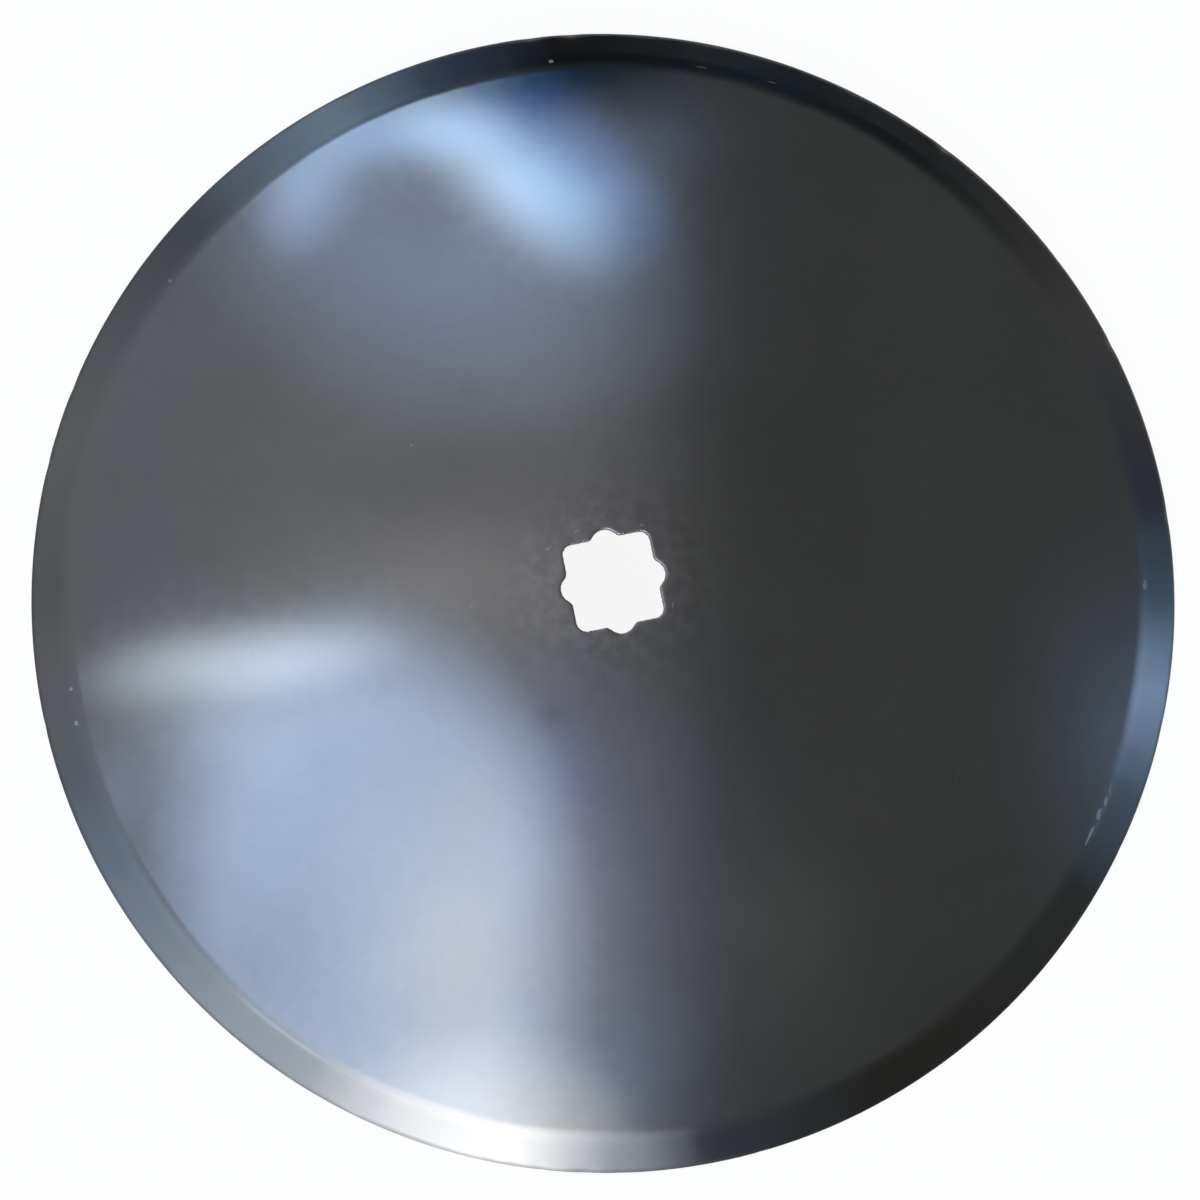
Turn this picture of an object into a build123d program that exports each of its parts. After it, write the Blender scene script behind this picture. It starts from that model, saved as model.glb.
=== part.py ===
"""Harrow disc blade: a dished round plate with a ground edge and a star hole for square axles.

The blade is one pressed plate. It is modelled as it lies on the ground, rim down and
dome up, in millimetres, with the origin on the ground under the middle of the hole.
"""

from build123d import *
from math import acos, asin, cos, degrees, sin
import os

# Plate
disc_diameter = 457.2
plate_thickness = 4.0
dish_radius = 487.0

# Cutting edge, ground on the convex side
bevel_width = 17.3
edge_land = 0.9

# Star hole: two square holes, a turn of an eighth apart, for two sizes of axle
large_axle = 31.75
large_axle_play = 2.5
large_corner_radius = 4.0
small_axle = 28.575
small_axle_play = 3.6
small_corner_radius = 5.5
punched_edge_radius = 0.5
eighth_turn = 45

# The dish is a shell between two spheres with one centre, under the ground
back_radius = dish_radius + plate_thickness
land_radius = dish_radius + edge_land
rim_angle = asin(disc_diameter / 2 / land_radius)
centre_height = -dish_radius * cos(rim_angle)

# Angle at the centre that the ground bevel takes, from the law of cosines
bevel_cosine = (back_radius**2 + land_radius**2 - bevel_width**2) / (2 * back_radius * land_radius)
bevel_start_angle = rim_angle - acos(bevel_cosine)


def on_sphere(radius, angle):
    """A point of the half-section, at an angle from the blade's axis."""
    return (radius * sin(angle), centre_height + radius * cos(angle))


# Where the hole's two squares lie
large_side = large_axle + large_axle_play
small_side = small_axle + small_axle_play
dome_top = centre_height + back_radius

with BuildPart() as disc_blade:
    # Half-section: the plate's two arcs, the ground bevel and the narrow edge land
    with BuildSketch(Plane.XZ):
        with BuildLine():
            Line(on_sphere(dish_radius, 0), on_sphere(back_radius, 0))
            ThreePointArc(
                on_sphere(back_radius, 0),
                on_sphere(back_radius, bevel_start_angle / 2),
                on_sphere(back_radius, bevel_start_angle),
            )
            Line(on_sphere(back_radius, bevel_start_angle), on_sphere(land_radius, rim_angle))
            Line(on_sphere(land_radius, rim_angle), on_sphere(dish_radius, rim_angle))
            ThreePointArc(
                on_sphere(dish_radius, rim_angle),
                on_sphere(dish_radius, rim_angle / 2),
                on_sphere(dish_radius, 0),
            )
        make_face()
    revolve(axis=Axis.Z)

    # Star hole, punched straight through along the blade's axis
    with BuildSketch(Plane.XY.offset(dome_top)):
        RectangleRounded(large_side, large_side, large_corner_radius)
        RectangleRounded(small_side, small_side, small_corner_radius, rotation=eighth_turn)
    extrude(amount=-dome_top, mode=Mode.SUBTRACT)

    # The punch draws the plate down round its edge on the convex side
    half_way_down = dome_top - plate_thickness / 2
    mouth = disc_blade.edges().filter_by_position(Axis.Z, half_way_down, dome_top)
    fillet(mouth, radius=punched_edge_radius)

disc_blade.part.label = "disc_blade"

os.makedirs("parts", exist_ok=True)
export_step(disc_blade.part, "parts/disc_blade.step")

print("dish depth in mm", round(centre_height + dish_radius, 1))
print("slope of the dish at its rim in degrees", round(degrees(rim_angle), 1))
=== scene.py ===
from math import acos, asin, cos, pi, radians, sin, sqrt, tan

import bpy
import numpy as np
from mathutils import Matrix, Vector
from mathutils.bvhtree import BVHTree
from mathutils.geometry import intersect_line_sphere


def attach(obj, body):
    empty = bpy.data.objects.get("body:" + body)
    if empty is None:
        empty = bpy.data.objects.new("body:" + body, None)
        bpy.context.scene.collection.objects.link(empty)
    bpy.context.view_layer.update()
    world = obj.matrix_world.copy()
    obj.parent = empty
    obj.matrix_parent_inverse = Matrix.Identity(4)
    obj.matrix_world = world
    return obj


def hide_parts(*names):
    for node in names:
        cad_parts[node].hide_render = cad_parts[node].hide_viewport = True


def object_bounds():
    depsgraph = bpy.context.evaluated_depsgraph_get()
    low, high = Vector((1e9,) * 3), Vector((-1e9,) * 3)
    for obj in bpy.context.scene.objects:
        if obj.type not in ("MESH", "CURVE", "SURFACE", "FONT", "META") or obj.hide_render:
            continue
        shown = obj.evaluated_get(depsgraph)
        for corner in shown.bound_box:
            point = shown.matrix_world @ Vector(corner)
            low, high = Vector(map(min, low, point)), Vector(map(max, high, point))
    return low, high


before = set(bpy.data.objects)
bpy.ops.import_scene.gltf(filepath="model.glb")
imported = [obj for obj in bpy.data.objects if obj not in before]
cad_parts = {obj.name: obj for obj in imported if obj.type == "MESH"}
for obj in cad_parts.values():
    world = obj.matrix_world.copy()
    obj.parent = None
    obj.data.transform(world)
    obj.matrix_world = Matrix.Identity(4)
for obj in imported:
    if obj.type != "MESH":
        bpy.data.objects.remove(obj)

cad_low, cad_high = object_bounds()

# Sizes of the blade, in metres
MM = 0.001
RIM_RADIUS = (cad_high.x - cad_low.x) / 2
PLATE = 4.0 * MM
DISH_RADIUS = 487.0 * MM
BEVEL_WIDTH = 17.3 * MM
EDGE_LAND = 0.9 * MM
LARGE_SIDE = 34.25 * MM
LARGE_CORNER = 4.0 * MM
SMALL_SIDE = 32.175 * MM
SMALL_CORNER = 5.5 * MM
MOUTH_RADIUS = 0.5 * MM

# The dish's two spheres have one centre, on the blade's axis under the ground
BACK_RADIUS = DISH_RADIUS + PLATE
LAND_RADIUS = DISH_RADIUS + EDGE_LAND
RIM_ANGLE = asin(RIM_RADIUS / LAND_RADIUS)
CENTRE_HEIGHT = -DISH_RADIUS * cos(RIM_ANGLE)
BEVEL_COSINE = (BACK_RADIUS**2 + LAND_RADIUS**2 - BEVEL_WIDTH**2) / (2 * BACK_RADIUS * LAND_RADIUS)
BEVEL_START_ANGLE = RIM_ANGLE - acos(BEVEL_COSINE)
BEVEL_START = BACK_RADIUS * sin(BEVEL_START_ANGLE)
LAND_TOP = CENTRE_HEIGHT + LAND_RADIUS * cos(RIM_ANGLE)
INNER_RIM = DISH_RADIUS * sin(RIM_ANGLE)

# Camera, as the photo was taken
PICTURE = 1200
CAMERA_DISTANCE = 1.6
CAMERA_TILT = radians(5.95)
CAMERA_SIDE = radians(-114.5)
PICTURE_TURN = radians(-11.5)
LENS = 120.15
SENSOR = 36.0
AIM = (-2.56 * MM, -1.63 * MM)


def picture_axes(x, y, z=0.0):
    """A direction given as right and up in the picture, in the blade's frame."""
    return Matrix.Rotation(PICTURE_TURN, 3, "Z") @ Vector((x, y, z))


TO_CAMERA = picture_axes(
    sin(CAMERA_TILT) * cos(CAMERA_SIDE), sin(CAMERA_TILT) * sin(CAMERA_SIDE), cos(CAMERA_TILT)
)
CAMERA_RIGHT = picture_axes(0, 1).cross(TO_CAMERA).normalized()
CAMERA_UP = TO_CAMERA.cross(CAMERA_RIGHT)
CAMERA_PLACE = picture_axes(*AIM) + TO_CAMERA * CAMERA_DISTANCE


def make_camera():
    """The camera looks down on the dome, a little from the picture's lower edge."""
    data = bpy.data.cameras.new("camera")
    data.lens = LENS
    data.sensor_width = SENSOR
    data.clip_start = 0.01
    data.clip_end = 200.0
    camera = bpy.data.objects.new("camera", data)
    bpy.context.scene.collection.objects.link(camera)
    turn = Matrix((CAMERA_RIGHT, CAMERA_UP, TO_CAMERA)).transposed()
    camera.matrix_world = Matrix.Translation(CAMERA_PLACE) @ turn.to_4x4()
    bpy.context.scene.camera = camera


def on_blade(x, y):
    """The place on the blade's back that a pixel of the photo shows."""
    pixel = SENSOR / LENS / PICTURE
    ray = CAMERA_RIGHT * (x - PICTURE / 2) * pixel - CAMERA_UP * (y - PICTURE / 2) * pixel - TO_CAMERA
    centre = Vector((0, 0, CENTRE_HEIGHT))
    hits = intersect_line_sphere(CAMERA_PLACE, CAMERA_PLACE + ray, centre, BACK_RADIUS, False)
    return max(hits, key=lambda hit: hit.z)


# The blade's mesh

SEED = 18
AROUND = 640
ANGLES = np.arange(AROUND) * 2 * pi / AROUND
SHARP_ANGLE = radians(20)

# Rings of each stretch of the section, with the one where the stretch before ends
WALL_RINGS = 6
ROLL_RINGS = 7
STAR_RINGS = 14
BACK_RINGS = 46
BEVEL_RINGS = 13
EDGE_RINGS = 7
HOLLOW_RINGS = 38
HOLLOW_STAR_RINGS = 8

# Rings are star-shaped near the hole and circles from here on
CIRCLE = 34 * MM

# Hole: wear where the punch's two squares meet, its ragged outline, and its rolled mouth
MEETING_REACH = 0.9 * MM
MEETING_WEAR = 0.2 * MM
RAGGED = 0.05 * MM
RAGGED_LUMPS = (24, 130)
ROLL_WIDTH_SHARE = 1.08
WALL_TURN = pi / 5

# Bevel: how far its inner edge wanders, slowly and quickly round the blade, and is rounded to each side
SLOW_WANDER = 0.1 * MM
SLOW_LUMPS = (2, 30)
QUICK_WANDER = 0.05 * MM
QUICK_LUMPS = (30, 110)
BEVEL_ROUNDING = 4.0 * MM
ROUNDING_STEPS = (-0.8, -0.6, -0.4, -0.2, 0.0, 0.2, 0.4, 0.6, 0.8, 1.0)

# Cutting edge: the bevel's slope, the edge's rounding, and dents of wear with sizes in millimetres
BEVEL_FALL = radians(37.3)
EDGE_ROUNDING = 0.35 * MM
DENTS = 16
DENT_DEPTHS = (0.06, 0.22)
DENT_WIDTHS = (2.5, 7)
DENT_FADE = 6

# Waves from pressing: how many, their lengths, their height as a share of that, and where they fade
WAVES = 14
WAVE_LENGTHS = (60 * MM, 170 * MM)
WAVE_SHARE = 0.00022
STILL_RADIUS = 26 * MM
INNER_FADE = 30 * MM
RIM_FADE = 26 * MM


def ease(value):
    """A smooth step from 0 to 1."""
    value = np.clip(value, 0, 1)
    return value * value * (3 - 2 * value)


def rounded_square(side, corner, turn):
    """Distance from the middle to the outline of a square with round corners, at each angle."""
    angle = np.abs((ANGLES - turn + pi / 4) % (pi / 2) - pi / 4)
    half = side / 2
    flat = half / np.cos(angle)
    diagonal = (half - corner) * sqrt(2)
    across = diagonal * np.sin(pi / 4 - angle)
    inside = np.maximum(corner**2 - across**2, 0)
    corner_part = diagonal * np.cos(pi / 4 - angle) + np.sqrt(inside)
    return np.where(half * np.tan(angle) <= half - corner, flat, corner_part)


def sphere_height(radius, ball):
    """Height of a ball's surface over the ground at a distance from the axis."""
    return CENTRE_HEIGHT + np.sqrt(ball**2 - radius**2)


def uneven(generator, lowest, highest):
    """A smooth random line round the blade, with a mean square of one."""
    total = np.zeros(AROUND)
    for number in range(lowest, highest):
        total += generator.normal() * np.cos(number * ANGLES + generator.uniform(0, 2 * pi))
    return total / np.sqrt(np.mean(total**2))


def press_waves(generator, x, y):
    """Faint waves that pressing and tempering leave in the plate, in metres."""
    height = np.zeros_like(x)
    for length in generator.uniform(*WAVE_LENGTHS, WAVES):
        way = generator.uniform(0, 2 * pi)
        start = generator.uniform(0, 2 * pi)
        height += length * np.sin((x * cos(way) + y * sin(way)) * 2 * pi / length + start)
    return height * WAVE_SHARE


def section(generator):
    """Rings of the plate, from the hole's wall over the back, round the edge and back under."""
    large = rounded_square(LARGE_SIDE, LARGE_CORNER, 0)
    small = rounded_square(SMALL_SIDE, SMALL_CORNER, pi / 4)
    # The punch has worn where its two squares meet, so the inward corners are rounded
    meeting = np.maximum(1 - np.abs(large - small) / MEETING_REACH, 0)
    star = np.maximum(large, small) + MEETING_WEAR * meeting**2
    # Punching leaves the outline slightly ragged
    star = star + uneven(generator, *RAGGED_LUMPS) * RAGGED
    roll = MOUTH_RADIUS * ROLL_WIDTH_SHARE
    mouth = star + roll
    mouth_height = sphere_height(mouth, BACK_RADIUS)
    rings = []

    def add(radius, height, zone):
        rings.append((np.broadcast_to(radius, AROUND), np.broadcast_to(height, AROUND), zone))

    # Wall of the hole and its rolled mouth
    wall_bottom = sphere_height(star, DISH_RADIUS)
    for share in np.linspace(0, 1, WALL_RINGS):
        add(star, wall_bottom * (1 - share) + (mouth_height - MOUTH_RADIUS) * share, "wall")
    for turn in np.linspace(0, pi / 2, ROLL_RINGS)[1:]:
        zone = "wall" if turn < WALL_TURN else "mouth"
        add(mouth - roll * cos(turn), mouth_height - MOUTH_RADIUS * (1 - sin(turn)), zone)

    # Back of the dish: star-shaped rings near the hole turn into circles
    for share in np.linspace(0, 1, STAR_RINGS)[1:]:
        radius = mouth * (1 - share) + CIRCLE * share
        add(radius, sphere_height(radius, BACK_RADIUS), "face")

    # The bevel was ground by machine, so its inner edge wanders a little
    start = BEVEL_START + uneven(generator, *SLOW_LUMPS) * SLOW_WANDER
    start = start + uneven(generator, *QUICK_LUMPS) * QUICK_WANDER
    for share in np.linspace(0, 1, BACK_RINGS)[1:]:
        radius = CIRCLE + (start - BEVEL_ROUNDING - CIRCLE) * share
        add(radius, sphere_height(radius, BACK_RADIUS), "face")

    # The ground bevel, with a slightly rounded inner edge
    start_height = sphere_height(start, BACK_RADIUS)
    back_slope = -start / np.sqrt(BACK_RADIUS**2 - start**2)
    bevel_slope = (LAND_TOP - start_height) / (RIM_RADIUS - start)
    for step in ROUNDING_STEPS:
        slope = back_slope if step < 0 else bevel_slope
        drop = (back_slope - bevel_slope) * BEVEL_ROUNDING * (1 - abs(step)) ** 2 / 4
        height = start_height + slope * step * BEVEL_ROUNDING - drop
        add(start + step * BEVEL_ROUNDING, height, "face" if step < 0 else "bevel")

    # The edge: a small rounding between the bevel and the land
    corner_turn = pi / 2 + RIM_ANGLE - BEVEL_FALL
    reach = EDGE_ROUNDING * tan(corner_turn / 2)
    tip_radius = RIM_RADIUS - reach * cos(BEVEL_FALL)
    tip_height = LAND_TOP + reach * sin(BEVEL_FALL)
    ball_radius = tip_radius - EDGE_ROUNDING * sin(BEVEL_FALL)
    ball_height = tip_height - EDGE_ROUNDING * cos(BEVEL_FALL)
    wear = np.zeros(AROUND)
    for place, depth, width in zip(
        generator.uniform(0, 2 * pi, DENTS),
        generator.uniform(*DENT_DEPTHS, DENTS),
        generator.uniform(*DENT_WIDTHS, DENTS),
    ):
        along = np.abs((ANGLES - place + pi) % (2 * pi) - pi) * RIM_RADIUS / MM
        wear = np.maximum(wear, depth * MM * (1 - ease(along / width)))
    for share in np.linspace(0, 1, BEVEL_RINGS)[1:]:
        radius = start + BEVEL_ROUNDING + (tip_radius - start - BEVEL_ROUNDING) * share
        height = start_height + bevel_slope * (radius - start)
        add(radius - wear * share**DENT_FADE, height, "bevel")
    for share in np.linspace(0, 1, EDGE_RINGS)[1:]:
        turn = BEVEL_FALL + corner_turn * share
        radius = ball_radius + EDGE_ROUNDING * sin(turn)
        height = ball_height + EDGE_ROUNDING * cos(turn)
        add(radius - wear, height, "land")
    last_radius = ball_radius + EDGE_ROUNDING * cos(RIM_ANGLE)
    last_height = ball_height - EDGE_ROUNDING * sin(RIM_ANGLE)
    for share in (0.5, 1.0):
        radius = last_radius * (1 - share) + INNER_RIM * share
        add(radius - wear * (1 - share), last_height * (1 - share), "land")

    # Hollow side
    for share in np.linspace(0, 1, HOLLOW_RINGS)[1:]:
        radius = INNER_RIM * (1 - share) + CIRCLE * share
        add(radius, sphere_height(radius, DISH_RADIUS), "hollow")
    for share in np.linspace(0, 1, HOLLOW_STAR_RINGS)[1:-1]:
        radius = CIRCLE * (1 - share) + star * share
        add(radius, sphere_height(radius, DISH_RADIUS), "hollow")
    return rings


# One pixel of the photo on the blade
PIXEL = 0.4 * MM

# Outline and shape of a chip or scuff: corners, how uneven, and its lift in millimetres along its reach
MARK_SPOKES = 18
MARK_UNEVEN = 0.2
MARK_LIFTS = [(0.0, 0.013), (0.45, 0.011), (0.8, 0.005), (1.0, -0.01)]

# Chips and scuffs: middle in the photo, half size in pixels, turn clockwise, and kind
MARKS = [
    ((551, 61), (3, 2.5), 0, "chip"),
    ((701, 67), (7, 1.0), 10, "faint"),
    ((772, 82), (5, 1.0), 14, "faint"),
    ((170, 281), (2.5, 2), 40, "chip"),
    ((71, 689), (2, 2), 0, "chip"),
    ((76, 723), (2, 3), 0, "chip"),
    ((1145, 585), (2.5, 6), 8, "chip"),
    ((1110, 788), (1.5, 6), 15, "scuff"),
    ((1106, 801), (2, 5), 15, "chip"),
    ((1099, 814), (2.5, 7), 12, "chip"),
    ((1090, 835), (1.8, 12), 27, "chip"),
    ((471, 606), (2, 2), 0, "chip"),
    ((411, 445), (1.5, 1.5), 0, "scuff"),
    ((957, 775), (1.5, 17), 2, "faint"),
    ((549, 548), (5, 1.5), -30, "scuff"),
    ((577, 531), (4, 1.2), -25, "scuff"),
    ((642, 525), (3, 1.2), 10, "scuff"),
    ((673, 605), (1.2, 3), 5, "scuff"),
]


def add_marks(generator, points, faces, zones):
    """Each mark is a low uneven blister on the plate, whose outline lies just under the surface."""
    plate = BVHTree.FromPolygons(points, faces)
    for (x, y), (across, down), turn, kind in MARKS:
        middle = on_blade(x, y)
        way = radians(turn)
        along = picture_axes(cos(way), -sin(way)) * across * PIXEL
        aside = picture_axes(sin(way), cos(way)) * down * PIXEL
        outline = 1 + generator.uniform(-MARK_UNEVEN, MARK_UNEVEN, MARK_SPOKES)
        first = len(points)
        for share, lift in MARK_LIFTS:
            for spoke in range(1 if share == 0 else MARK_SPOKES):
                angle = spoke * 2 * pi / MARK_SPOKES
                reach = share * outline[spoke]
                place = middle + (along * cos(angle) + aside * sin(angle)) * reach
                hit = plate.ray_cast(Vector((place.x, place.y, 1.0)), Vector((0, 0, -1)))[0]
                points.append((hit.x, hit.y, hit.z + lift * MM))
        for ring in range(len(MARK_LIFTS) - 1):
            inner = first + 1 + (ring - 1) * MARK_SPOKES
            outer = inner + MARK_SPOKES
            for spoke in range(MARK_SPOKES):
                following = (spoke + 1) % MARK_SPOKES
                if ring == 0:
                    faces.append((first, outer + spoke, outer + following))
                else:
                    faces.append((inner + spoke, outer + spoke, outer + following, inner + following))
                zones.append(kind)


def make_blade():
    """One closed mesh of the plate, with a material for each kind of surface."""
    generator = np.random.default_rng(SEED)
    rings = section(generator)
    radius = np.concatenate([ring[0] for ring in rings])
    height = np.concatenate([ring[1] for ring in rings])
    x = radius * np.cos(np.tile(ANGLES, len(rings)))
    y = radius * np.sin(np.tile(ANGLES, len(rings)))
    fade = ease((radius - STILL_RADIUS) / INNER_FADE) * ease((RIM_RADIUS - radius) / RIM_FADE)
    height = np.maximum(height + press_waves(generator, x, y) * fade, 0)
    points = np.stack([x, y, height], 1).tolist()
    faces, zones = [], []
    for here in range(len(rings)):
        there = (here + 1) % len(rings)
        for step in range(AROUND):
            following = (step + 1) % AROUND
            faces.append((
                here * AROUND + step, there * AROUND + step,
                there * AROUND + following, here * AROUND + following,
            ))
            zones.append(rings[there][2])
    add_marks(generator, points, faces, zones)
    mesh = bpy.data.meshes.new("blade_plate")
    mesh.from_pydata(points, [], faces)
    mesh.polygons.foreach_set("material_index", [list(STEELS).index(zone) for zone in zones])
    mesh.polygons.foreach_set("use_smooth", [True] * len(faces))
    mesh.update()
    piece = bpy.data.objects.new("blade_plate", mesh)
    bpy.context.scene.collection.objects.link(piece)
    mesh.set_sharp_from_angle(angle=SHARP_ANGLE)
    return piece


# Materials

class Nodes:
    """Short ways to add and link shader nodes."""

    def __init__(self, tree):
        self.tree = tree
        tree.nodes.clear()

    def add(self, kind, inputs=None, **settings):
        node = self.tree.nodes.new(kind)
        for name, value in settings.items():
            setattr(node, name, value)
        for name, value in (inputs or {}).items():
            self.put(node.inputs[name], value)
        return node

    def put(self, socket, value):
        if isinstance(value, bpy.types.NodeSocket):
            self.tree.links.new(value, socket)
        else:
            socket.default_value = value

    def math(self, operation, *values, clamp=False):
        node = self.add("ShaderNodeMath", operation=operation, use_clamp=clamp)
        for socket, value in zip(node.inputs, values):
            self.put(socket, value)
        return node.outputs[0]

    def vector(self, operation, *values):
        node = self.add("ShaderNodeVectorMath", operation=operation)
        for socket, value in zip(node.inputs, values):
            self.put(socket, value)
        return node.outputs[1] if operation in ("LENGTH", "DOT_PRODUCT") else node.outputs[0]

    def scaled(self, vector, factor):
        node = self.add("ShaderNodeVectorMath", {"Scale": factor}, operation="SCALE")
        self.put(node.inputs[0], vector)
        return node.outputs[0]

    def ramp(self, value, low, high, start=0.0, end=1.0):
        node = self.add("ShaderNodeMapRange", interpolation_type="SMOOTHSTEP", clamp=True)
        for name, number in (("Value", value), ("From Min", low), ("From Max", high),
                             ("To Min", start), ("To Max", end)):
            self.put(node.inputs[name], number)
        return node.outputs[0]

    def mix(self, share, first, second):
        node = self.add("ShaderNodeMix", data_type="RGBA", clamp_factor=True)
        self.put(node.inputs[0], share)
        self.put(node.inputs[6], first)
        self.put(node.inputs[7], second)
        return node.outputs[2]

    def noise(self, place, scale, detail=2.0, roughness=0.5):
        node = self.add("ShaderNodeTexNoise", {
            "Vector": place, "Scale": scale, "Detail": detail, "Roughness": roughness,
        })
        return node.outputs[0]

    def colours(self, value, low, high, stops, interpolation):
        """A run of colours along a value, from stops given in that value's own units."""
        node = self.add("ShaderNodeValToRGB", {
            "Fac": self.math("MULTIPLY_ADD", value, 1 / (high - low), -low / (high - low)),
        })
        node.color_ramp.interpolation = interpolation
        elements = node.color_ramp.elements
        while len(elements) < len(stops):
            elements.new(0.5)
        for element, (place, _) in zip(elements, stops):
            element.position = (place - low) / (high - low)
        for element, (_, light) in zip(elements, stops):
            element.color = (*light, 1.0)
        return node.outputs[0]

    def round_spot(self, plane, middle, reach, crisp):
        """An ellipse in a plane: 1 in its middle and 0 outside, soft all over where crisp is None."""
        away = self.vector(
            "MULTIPLY_ADD", plane, (1 / reach[0], 1 / reach[1], 0),
            (-middle[0] / reach[0], -middle[1] / reach[1], 0),
        )
        if crisp is None:
            gradient = self.add("ShaderNodeTexGradient", {"Vector": away}, gradient_type="QUADRATIC_SPHERE")
            return gradient.outputs[1]
        return self.math("MULTIPLY_ADD", self.vector("LENGTH", away), -crisp, crisp, clamp=True)


def colour(red, green, blue):
    return (red, green, blue, 1.0)


def grey(level):
    return colour(level, level, level)


# Steel: the size of its clouds and grain, as texture scales, and how far they change it, as shares
CLOUD_SCALE = 14.0
CLOUD_RANGE = (0.3, 0.7)
TONE_SPREAD = 0.04
ROUGH_SPREAD = 0.06
GRAIN_SCALE = 700.0
GRAIN_HEIGHT = 0.001 * MM

# Bevel against the face: its tone and roughness, as shares
GROUND_TONE = 0.85
GROUND_ROUGH = 0.58

# Blotches: from full to faint between two distances from the hole's middle, and their strength
BLOTCH_RING = (22 * MM, 50 * MM)
BLOTCH_FAINT = 0.12
BLOTCH_SCALE = 150.0
BLOTCH_RANGE = (0.35, 0.7)
BLOTCH_TONES = (-0.09, 0.15)
BLOTCH_ROUGH = 0.06

# Hairlines: a noise stretched along one way, turned in radians, of which only the peaks show
HAIR_SCALES = (850.0, 16.0, 1.0)
HAIR_TURN = 0.7
HAIR_PEAKS = (0.68, 0.86)
HAIR_ROUGH = 0.03

# Worn inner edge of the bevel, also a painted highlight of the edge's glint: the line's half width, its
# shares, and the bare steel's tone
WORN_AND_GLINT_LINE = (0.2 * MM, 1.2 * MM)
WORN_AND_GLINT_SHARE = 0.4
WORN_SCALE = 38.0
WORN_PEAKS = (0.56, 0.7)
WORN_ELSEWHERE = 0.15
WORN_AND_GLINT_CRISP = 2.0
WORN_AND_GLINT_TONE = (0.25, 0.26, 0.265)
WORN_ROUGH = 0.06

# Dull line along the rim, darkened there as painted shade: how it wanders, where it starts and is full, its
# share and its tone
DULL_AND_SHADE_SCALE = 60.0
DULL_AND_SHADE_WANDER = (-0.3 * MM, 0.4 * MM)
DULL_AND_SHADE_START = RIM_RADIUS - 1.8 * MM
DULL_AND_SHADE_FULL = RIM_RADIUS - 0.5 * MM
DULL_AND_SHADE_SHARE = 0.6
RIM_PAINTED_SHADE_TONE = (0.075, 0.076, 0.078)
DULL_ROUGH = 0.25

# Grinding lines: how close they are, how they wander round the blade, and their depth
GRIND_SCALE = 1300.0
GRIND_WANDER = 5.0
GRIND_HEIGHT = 0.0007 * MM
GRIND_PEAKS = (0.4, 0.7)
GRIND_ROUGH = 0.012

# Chips: how much of them still shines as metal
CHIP_SCALE = 900.0
CHIP_METAL = (0.2, 0.7)

# Where the bevel's inner edge is worn along its length, the first place also a painted highlight of the
# edge's glint: middle and reach in pixels of the photo
WORN_AND_GLINT = [((280, 1032), 62), ((1098, 812), 34)]

# Faint smudges in the varnish: middle and reach in pixels of the photo, and the tone's share there
SMUDGES = [
    ((552, 713), (30, 22), 0.78),
    ((470, 390), (26, 18), 0.92),
    ((600, 650), (80, 70), 0.93),
    ((350, 440), (120, 60), 1.04),
]


def steel(name, tone, roughness, details=()):
    """Tempered steel under a thin varnish: cloudy, finely grained, with details added in turn."""
    material = bpy.data.materials.new(name)
    material.use_nodes = True
    nodes = Nodes(material.node_tree)
    place = nodes.add("ShaderNodeTexCoord").outputs["Object"]
    clouds = nodes.noise(place, CLOUD_SCALE)
    surface = {
        "tint": nodes.mix(
            nodes.ramp(clouds, *CLOUD_RANGE),
            colour(*[part * (1 - TONE_SPREAD) for part in tone]),
            colour(*[part * (1 + TONE_SPREAD) for part in tone]),
        ),
        "rough": nodes.ramp(
            clouds, *CLOUD_RANGE, roughness * (1 - ROUGH_SPREAD), roughness * (1 + ROUGH_SPREAD)
        ),
        "metal": 1.0,
        "height": nodes.math("MULTIPLY", nodes.noise(place, GRAIN_SCALE, 0.0), GRAIN_HEIGHT),
    }
    flat_place = nodes.vector("MULTIPLY", place, (1, 1, 0))
    for detail in details:
        detail(nodes, flat_place, surface)
    bump = nodes.add("ShaderNodeBump", {"Height": surface["height"], "Strength": 1.0, "Distance": 1.0})
    shader = nodes.add("ShaderNodeBsdfPrincipled", {
        "Base Color": surface["tint"], "Roughness": surface["rough"],
        "Metallic": surface["metal"], "Normal": bump.outputs[0],
    })
    nodes.add("ShaderNodeOutputMaterial", {"Surface": shader.outputs[0]})
    return material


def ground(nodes, place, surface):
    """The bevel is darker and smoother, and its finish starts softly over its rounded inner edge."""
    reach = nodes.vector("LENGTH", place)
    first, last = BEVEL_START - BEVEL_ROUNDING, BEVEL_START + BEVEL_ROUNDING
    surface["tint"] = nodes.scaled(
        surface["tint"], nodes.ramp(reach, first, last, 1.0, GROUND_TONE)
    )
    surface["rough"] = nodes.math(
        "MULTIPLY", surface["rough"], nodes.ramp(reach, first, last, 1.0, GROUND_ROUGH)
    )


def blotches(nodes, place, surface):
    """Scale from the punch and the press, in a blotchy ring round the hole."""
    ring = nodes.ramp(nodes.vector("LENGTH", place), *BLOTCH_RING, 1.0, BLOTCH_FAINT)
    light = nodes.ramp(nodes.noise(place, BLOTCH_SCALE, 2.0, 0.6), *BLOTCH_RANGE, *BLOTCH_TONES)
    surface["tint"] = nodes.scaled(surface["tint"], nodes.math("MULTIPLY_ADD", light, ring, 1.0))
    surface["rough"] = nodes.math("MULTIPLY_ADD", light, BLOTCH_ROUGH, surface["rough"])


def smudges(nodes, place, surface):
    """Darker and lighter smudges where the photo shows them."""
    for (x, y), (across, down), share in SMUDGES:
        middle = on_blade(x, y)
        mask = nodes.round_spot(place, middle.xy, (across * PIXEL, down * PIXEL), None)
        surface["tint"] = nodes.scaled(
            surface["tint"], nodes.math("MULTIPLY_ADD", mask, share - 1, 1.0)
        )


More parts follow.
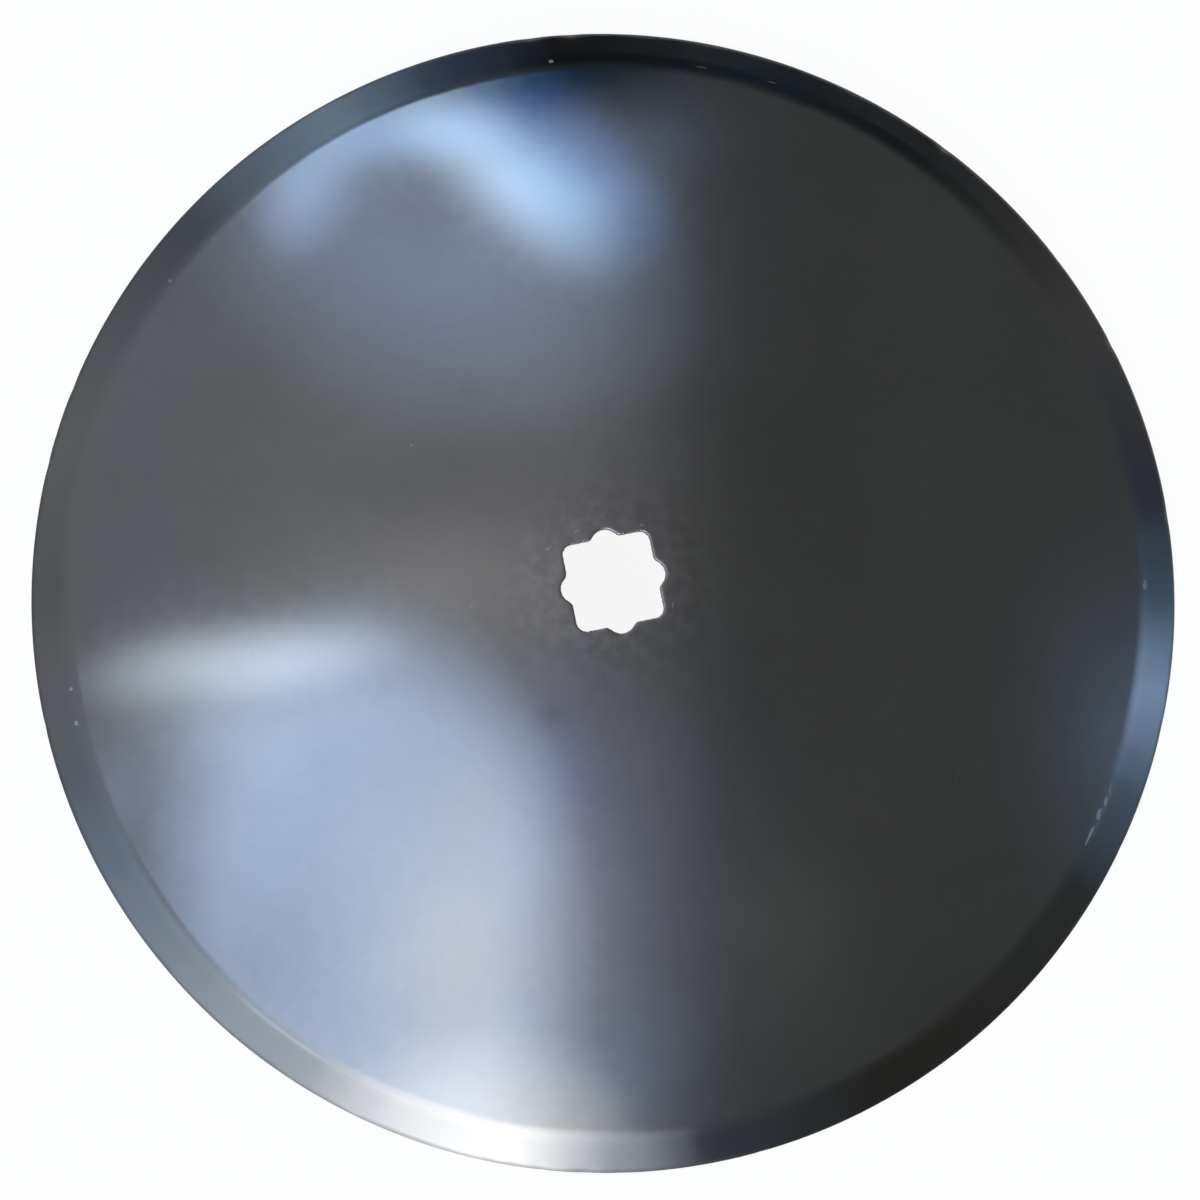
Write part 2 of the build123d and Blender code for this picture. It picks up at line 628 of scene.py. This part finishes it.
def hairlines(nodes, place, surface):
    """Fine scratches from handling, which wander a little across the plate."""
    stretched = nodes.add("ShaderNodeMapping", {
        "Vector": place, "Scale": HAIR_SCALES, "Rotation": (0, 0, HAIR_TURN),
    }).outputs[0]
    line = nodes.ramp(nodes.noise(stretched, 1.0, 0.0), *HAIR_PEAKS, 0.0, HAIR_ROUGH)
    surface["rough"] = nodes.math("ADD", surface["rough"], line)


def inner_edge_wear_and_glint(nodes, place, surface):
    """The varnish is thin on the bevel's inner edge, so paler steel shows there in places, and the pale
    line is also a painted highlight of the edge's glint.
    """
    away = nodes.math("ABSOLUTE", nodes.math("SUBTRACT", nodes.vector("LENGTH", place), BEVEL_START))
    line = nodes.ramp(away, *WORN_AND_GLINT_LINE, WORN_AND_GLINT_SHARE, 0.0)
    peaks = nodes.noise(place, WORN_SCALE, 2.0, 0.6)
    broken = nodes.ramp(peaks, *WORN_PEAKS, 0.0, WORN_ELSEWHERE)
    for (x, y), reach in WORN_AND_GLINT:
        middle = on_blade(x, y)
        worn_and_glint_spot = nodes.round_spot(place, middle.xy, (reach * PIXEL, reach * PIXEL), WORN_AND_GLINT_CRISP)
        broken = nodes.math("MAXIMUM", broken, worn_and_glint_spot)
    share = nodes.math("MULTIPLY", line, broken)
    # The paler tint here is partly wear and partly a painted highlight along the inner edge
    surface["tint"] = nodes.mix(share, surface["tint"], colour(*WORN_AND_GLINT_TONE))
    surface["rough"] = nodes.math("MULTIPLY_ADD", share, WORN_ROUGH, surface["rough"])


def rim_dull_and_painted_shade(nodes, place, surface):
    """A thin line along the rim, uneven as a sheared and ground edge is: rougher there as a dull edge, and
    darker as painted shade.
    """
    wander = nodes.ramp(nodes.noise(place, DULL_AND_SHADE_SCALE, 2.0, 0.7), *CLOUD_RANGE, *DULL_AND_SHADE_WANDER)
    edge = nodes.math("ADD", nodes.vector("LENGTH", place), wander)
    line = nodes.ramp(edge, DULL_AND_SHADE_START, DULL_AND_SHADE_FULL, 0.0, DULL_AND_SHADE_SHARE)
    # The darker tint along the rim is painted shade; the added roughness is the dull edge
    surface["tint"] = nodes.mix(line, surface["tint"], colour(*RIM_PAINTED_SHADE_TONE))
    surface["rough"] = nodes.math("MULTIPLY_ADD", line, DULL_ROUGH, surface["rough"])


def grinding(nodes, place, surface):
    """Fine grinding lines that run round the blade."""
    turns = nodes.math("MULTIPLY", nodes.vector("LENGTH", place), GRIND_SCALE)
    spot = nodes.vector("MULTIPLY_ADD", nodes.vector("NORMALIZE", place), (GRIND_WANDER,) * 3, turns)
    lines = nodes.noise(spot, 1.0, 0.0)
    surface["height"] = nodes.math("MULTIPLY_ADD", lines, GRIND_HEIGHT, surface["height"])
    dull_lines = nodes.ramp(lines, *GRIND_PEAKS, 0.0, GRIND_ROUGH)
    surface["rough"] = nodes.math("ADD", surface["rough"], dull_lines)


def dull(nodes, place, surface):
    """Bare or dusty, with little of the varnish left."""
    surface["metal"] = nodes.ramp(nodes.noise(place, CHIP_SCALE, 1.0), *CLOUD_RANGE, *CHIP_METAL)


# Kinds of surface: tone, roughness, and details in turn
FACE_TONE = (0.171, 0.172, 0.173)
STEELS = {
    "face": (FACE_TONE, 0.13, (ground, blotches, smudges, hairlines, inner_edge_wear_and_glint)),
    "bevel": (FACE_TONE, 0.13, (ground, grinding, inner_edge_wear_and_glint, rim_dull_and_painted_shade)),
    "land": ((0.09, 0.09, 0.095), 0.36, (grinding,)),
    "hollow": ((0.16, 0.161, 0.163), 0.22, (hairlines, blotches)),
    "wall": ((0.05, 0.05, 0.052), 0.42, (blotches,)),
    "mouth": ((0.2, 0.202, 0.204), 0.24, (blotches,)),
    "chip": ((0.16, 0.175, 0.17), 0.55, (dull,)),
    "scuff": ((0.2, 0.206, 0.208), 0.34, (hairlines,)),
    "faint": ((0.14, 0.148, 0.148), 0.3, (hairlines,)),
}


# Studio

# The sky is drawn where the blade mirrors it, in pixels of the photo
MIRROR_SCALE = 1095.0
MIRROR_MIDDLE = (609.0, 589.0)

# Room round the blade: a pale wall on the left and a dim room on the right, dark at the top
ROOM_WIDTH = (0, 1200)
ROOM = [
    (150, (0.37, 0.40, 0.45)),
    (330, (0.44, 0.45, 0.48)),
    (508, (0.46, 0.46, 0.48)),
    (756, (0.0, 0.0, 0.0)),
]
ROOM_TOP = (60, 150)
AMBIENT = (0.196, 0.201, 0.203)

# Soft lights: middle, reach, turn in degrees, how crisp the edge is, and the light, below 0 for shade
LIGHTS = [
    # Window low on the left: blue daylight, its sunlit part, shade on its left, and its white foot
    ((370, 926), (231, 339), -4, 2.8, (1.56, 2.05, 2.97)),
    ((468, 960), (185, 260), 0, None, (0.92, 0.64, 0.0)),
    ((260, 965), (145, 185), 0, None, (-0.6, -0.72, -0.94)),
    ((484, 1170), (175, 158), 0, 1.5, (2.6, 2.48, 2.2)),
    # Blue glow beside the window, a less blue place in its corner, and dim blue over it
    ((605, 895), (190, 350), 0, None, (0.31, 0.39, 0.71)),
    ((590, 1075), (160, 150), 0, None, (0.3, 0.58, 1.0)),
    ((553, 775), (92, 150), 0, None, (0.09, 0.2, 0.62)),
    ((468, 800), (80, 80), 0, None, (0.05, -0.12, -0.5)),
    ((545, 672), (75, 60), 0, None, (0.13, 0.12, 0.3)),
    # Bright ledge over the window, its soft lower side, and its glow on the wall
    ((242, 666), (186, 42), -5, 1.3, (2.5, 2.9, 3.35)),
    ((215, 730), (140, 80), 0, None, (0.95, 1.2, 1.55)),
    ((123, 798), (114, 130), 0, None, (0.56, 0.7, 1.1)),
    ((440, 590), (290, 110), 0, None, (0.49, 0.46, 0.46)),
    # Blue haze near the top, and the bright arch in it: left leg, top, right side, blue edge, soft spots
    ((437, 272), (290, 170), 15, 1.2, (0.38, 0.57, 1.0)),
    ((308, 165), (60, 100), 18, 1.2, (1.15, 1.7, 2.65)),
    ((407, 118), (128, 48), -3, 1.3, (1.4, 2.2, 3.5)),
    ((509, 176), (160, 62), 42, 1.1, (2.15, 3.0, 3.7)),
    ((558, 164), (148, 80), 42, 1.1, (0.5, 1.22, 2.7)),
    ((665, 125), (90, 90), 0, None, (0.1, 0.2, 0.42)),
    ((600, 190), (64, 56), 0, None, (0.5, 0.6, 0.6)),
    # Darker places in the studio, at the top
    ((590, 45), (170, 85), 0, None, (-0.24, -0.19, -0.13)),
    ((530, 86), (110, 52), 0, None, (-0.4, -0.4, -0.25)),
    # Faint daylight from the right
    ((1120, 730), (130, 240), 0, None, (0.14, 0.25, 0.43)),
    # Pale patch right of the middle, low down, and a dim corner at the lower right
    ((770, 925), (130, 170), 0, None, (0.12, 0.125, 0.11)),
    ((965, 1015), (170, 140), 0, None, (-0.05, -0.05, -0.05)),
]

# Lights low round the studio, which the bevel mirrors: angle clockwise from the right, and light
RING_START = (520, 650)
RING = [
    (-180, (0.56, 0.58, 0.62)),
    (-165, (0.64, 0.67, 0.7)),
    (-138, (0.36, 0.4, 0.5)),
    (-120, (0.78, 1.12, 1.5)),
    (-108, (0.18, 0.26, 0.42)),
    (-96, (0.025, 0.03, 0.035)),
    (-75, (0.045, 0.07, 0.095)),
    (-55, (0.05, 0.06, 0.065)),
    (-30, (0.23, 0.23, 0.23)),
    (-10, (0.15, 0.17, 0.23)),
    (0, (0.28, 0.44, 0.62)),
    (10, (1.12, 1.6, 2.45)),
    (20, (0.36, 0.52, 0.75)),
    (32, (0.14, 0.155, 0.155)),
    (60, (0.105, 0.108, 0.09)),
    (80, (0.21, 0.24, 0.31)),
    (90, (2.2, 2.35, 2.7)),
    (100, (7.5, 7.5, 7.5)),
    (111, (5.6, 5.7, 5.9)),
    (122, (2.3, 2.55, 2.9)),
    (150, (0.9, 1.15, 1.5)),
    (160, (0.65, 0.75, 0.94)),
    (170, (0.66, 0.68, 0.76)),
    (180, (0.56, 0.58, 0.62)),
]

# Floor: how far it reaches, its sides, its tone, and the share of plain white that the camera sees
FLOOR_REACH = 40.0
FLOOR_SIDES = 64
FLOOR_TONE = (0.92, 0.88, 0.78)
FLOOR_WHITE_SHARE = 0.9


def make_world():
    """The studio's light, as soft shapes placed by where their reflections lie in the photo."""
    world = bpy.data.worlds.new("studio")
    world.use_nodes = True
    # Rays off the steel find these wide soft lights, so no further samples go to them
    world.cycles.sampling_method = "NONE"
    bpy.context.scene.world = world
    nodes = Nodes(world.node_tree)
    direction = nodes.add("ShaderNodeTexCoord").outputs["Generated"]
    half_way = nodes.vector("NORMALIZE", nodes.vector("ADD", direction, tuple(TO_CAMERA)))
    right = nodes.vector("DOT_PRODUCT", half_way, tuple(picture_axes(MIRROR_SCALE, 0)))
    down = nodes.vector("DOT_PRODUCT", half_way, tuple(picture_axes(0, -MIRROR_SCALE)))
    from_middle = nodes.add("ShaderNodeCombineXYZ", {"X": right, "Y": down}).outputs[0]
    spot = nodes.vector("ADD", from_middle, (*MIRROR_MIDDLE, 0))

    room = nodes.colours(
        nodes.math("ADD", right, MIRROR_MIDDLE[0]), *ROOM_WIDTH, ROOM, "EASE"
    )
    top = nodes.ramp(nodes.math("ADD", down, MIRROR_MIDDLE[1]), *ROOM_TOP)
    total = nodes.vector("MULTIPLY_ADD", room, top, AMBIENT)

    planes = {0: spot}
    for middle, reach, turn, crisp, light in LIGHTS:
        along = (cos(radians(turn)), sin(radians(turn)), 0)
        aside = (-along[1], along[0], 0)
        if turn not in planes:
            planes[turn] = nodes.add("ShaderNodeCombineXYZ", {
                "X": nodes.vector("DOT_PRODUCT", spot, along),
                "Y": nodes.vector("DOT_PRODUCT", spot, aside),
            }).outputs[0]
        turned_middle = (
            middle[0] * along[0] + middle[1] * along[1], middle[0] * aside[0] + middle[1] * aside[1]
        )
        mask = nodes.round_spot(planes[turn], turned_middle, reach, crisp)
        total = nodes.vector("MULTIPLY_ADD", mask, light, total)

    angle = nodes.math("ARCTAN2", down, right)
    ring = nodes.colours(nodes.math("MULTIPLY", angle, 180 / pi), -180, 180, RING, "LINEAR")
    low_down = nodes.ramp(nodes.vector("LENGTH", from_middle), *RING_START)
    total = nodes.mix(low_down, total, ring)

    # The camera itself sees a plain white backdrop behind the floor
    seen = nodes.add("ShaderNodeLightPath").outputs["Is Camera Ray"]
    total = nodes.mix(seen, total, grey(1.0))
    background = nodes.add("ShaderNodeBackground", {"Color": total, "Strength": 1.0})
    nodes.add("ShaderNodeOutputWorld", {"Surface": background.outputs[0]})


def make_floor():
    """A wide white floor, which the camera and reflections see as plain white, less the shadow."""
    mesh = bpy.data.meshes.new("floor")
    angles = [side * 2 * pi / FLOOR_SIDES for side in range(FLOOR_SIDES)]
    corners = [(FLOOR_REACH * cos(angle), FLOOR_REACH * sin(angle), 0) for angle in angles]
    mesh.from_pydata(corners, [], [tuple(range(FLOOR_SIDES))])
    floor = bpy.data.objects.new("floor", mesh)
    bpy.context.scene.collection.objects.link(floor)
    material = bpy.data.materials.new("floor_white")
    material.use_nodes = True
    material.cycles.emission_sampling = "NONE"
    nodes = Nodes(material.node_tree)
    path = nodes.add("ShaderNodeLightPath")
    seen = nodes.math("MAXIMUM", path.outputs["Is Camera Ray"], path.outputs["Is Glossy Ray"])
    seen = nodes.math("MAXIMUM", seen, path.outputs["Is Transmission Ray"])
    plain = nodes.add("ShaderNodeBsdfDiffuse", {"Color": colour(*FLOOR_TONE)})
    white = nodes.add("ShaderNodeEmission", {"Color": grey(1.0), "Strength": 1.0})
    share = nodes.math("MULTIPLY", seen, FLOOR_WHITE_SHARE)
    both = nodes.add("ShaderNodeMixShader", {0: share, 1: plain.outputs[0], 2: white.outputs[0]})
    nodes.add("ShaderNodeOutputMaterial", {"Surface": both.outputs[0]})
    mesh.materials.append(material)


bpy.context.scene.view_settings.view_transform = "Standard"

make_camera()

blade = make_blade()
for zone, finish in STEELS.items():
    blade.data.materials.append(steel("steel_" + zone, *finish))
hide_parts("disc_blade")
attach(blade, "root")

make_world()
make_floor()
